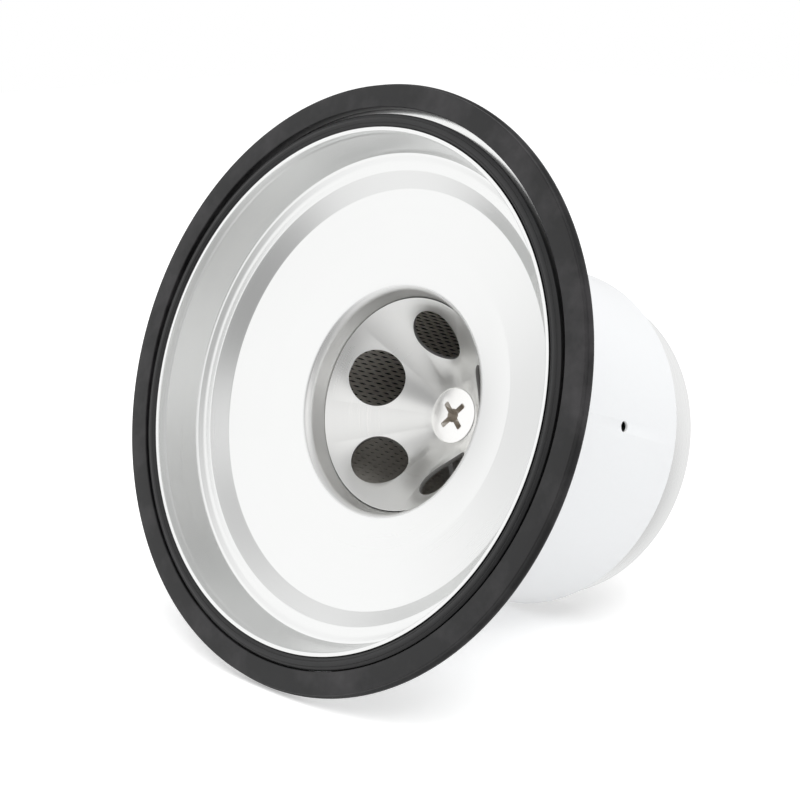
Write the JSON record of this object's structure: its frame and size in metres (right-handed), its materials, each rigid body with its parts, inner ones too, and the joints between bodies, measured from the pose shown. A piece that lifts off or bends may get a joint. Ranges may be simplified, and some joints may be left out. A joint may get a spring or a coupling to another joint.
{
  "type": "cartridge filter housing",
  "caption": "Stepped spun-metal pan with black rubber gasket, recessed perforated funnel held by one screw, and a white can with a tapered end round a pleated filter cartridge.",
  "frame": {"origin": "middle of the can's far end, where the part stands; the pan opens upwards", "axes": "+Z along the common axis, from the can's inlet end to the gasket; the side hole is near -Y"},
  "size_m": [0.161, 0.161, 0.0997],
  "materials": {
    "spun_aluminium": "satin spun aluminium, fine circular lines, bright",
    "funnel_aluminium": "satin spun aluminium, circular lines",
    "band_aluminium": "bare turned aluminium, fine circular lines",
    "white_enamel": "semi-gloss white enamel",
    "gasket_rubber": "matt black moulded rubber with faint rub marks",
    "seal_rubber": "dark satin rubber",
    "screw_steel": "bright zinc-plated steel",
    "mesh_steel": "galvanised expanded metal, dull",
    "cap_steel": "zinc-coated pressed steel",
    "stud_steel": "zinc-plated steel",
    "filter_paper": "charcoal-loaded filter paper",
    "nylon": "natural nylon"
  },
  "bodies": {
    "canister": {"can": "white_enamel", "end_band": "band_aluminium", "inlet_grille": "band_aluminium", "grille_ring": "stud_steel", "tie_stud": "stud_steel", "tie_nut": "stud_steel", "stud_washer": "stud_steel", "stud_nut": "stud_steel", "rubber_buffers": "gasket_rubber"},
    "pan_unit": {"pan": "spun_aluminium", "can_gasket": "gasket_rubber"},
    "gasket_ring": {"outer_gasket": "gasket_rubber"},
    "seal_ring": {"rim_seal": "seal_rubber"},
    "funnel": {"outlet_cone": "funnel_aluminium"},
    "retainer_washer": {"screw_retainer": "nylon"},
    "screw": {"cone_screw": "screw_steel"},
    "cartridge": {"top_cap": "cap_steel", "core_mesh": "mesh_steel", "pleated_media": "filter_paper", "sleeve_mesh": "mesh_steel", "bottom_cap": "cap_steel", "stud_grommet": "seal_rubber", "top_seal": "seal_rubber"}
  },
  "joints": [
    {"name": "pan_lift", "type": "slide", "parent": "canister", "child": "pan_unit", "axis": [0, 0, 1], "range_m": [0, 0.14]},
    {"name": "cartridge_lift", "type": "slide", "parent": "canister", "child": "cartridge", "axis": [0, 0, 1], "range_m": [0, 0.07]},
    {"name": "gasket_lift", "type": "slide", "parent": "pan_unit", "child": "gasket_ring", "axis": [0, 0, 1], "range_m": [0, 0.03]},
    {"name": "seal_lift", "type": "slide", "parent": "pan_unit", "child": "seal_ring", "axis": [0, 0, 1], "range_m": [0, 0.045]},
    {"name": "funnel_lift", "type": "slide", "parent": "pan_unit", "child": "funnel", "axis": [0, 0, 1], "range_m": [0, 0.06]},
    {"name": "screw_back_out", "type": "slide", "parent": "funnel", "child": "retainer_washer", "axis": [0, 0, 1], "range_m": [0, 0.0121]},
    {"name": "screw_turn", "type": "hinge", "parent": "retainer_washer", "child": "screw", "pos_m": [0, 0, 0.0509], "axis": [0, 0, 1], "range_deg": [0, 3456]}
  ],
  "couplings": [
    {"joint": "cartridge_lift", "follows": "pan_lift", "ratio": 0.5},
    {"joint": "screw_back_out", "follows": "screw_turn", "m_per_rad": 0.00019894}
  ]
}
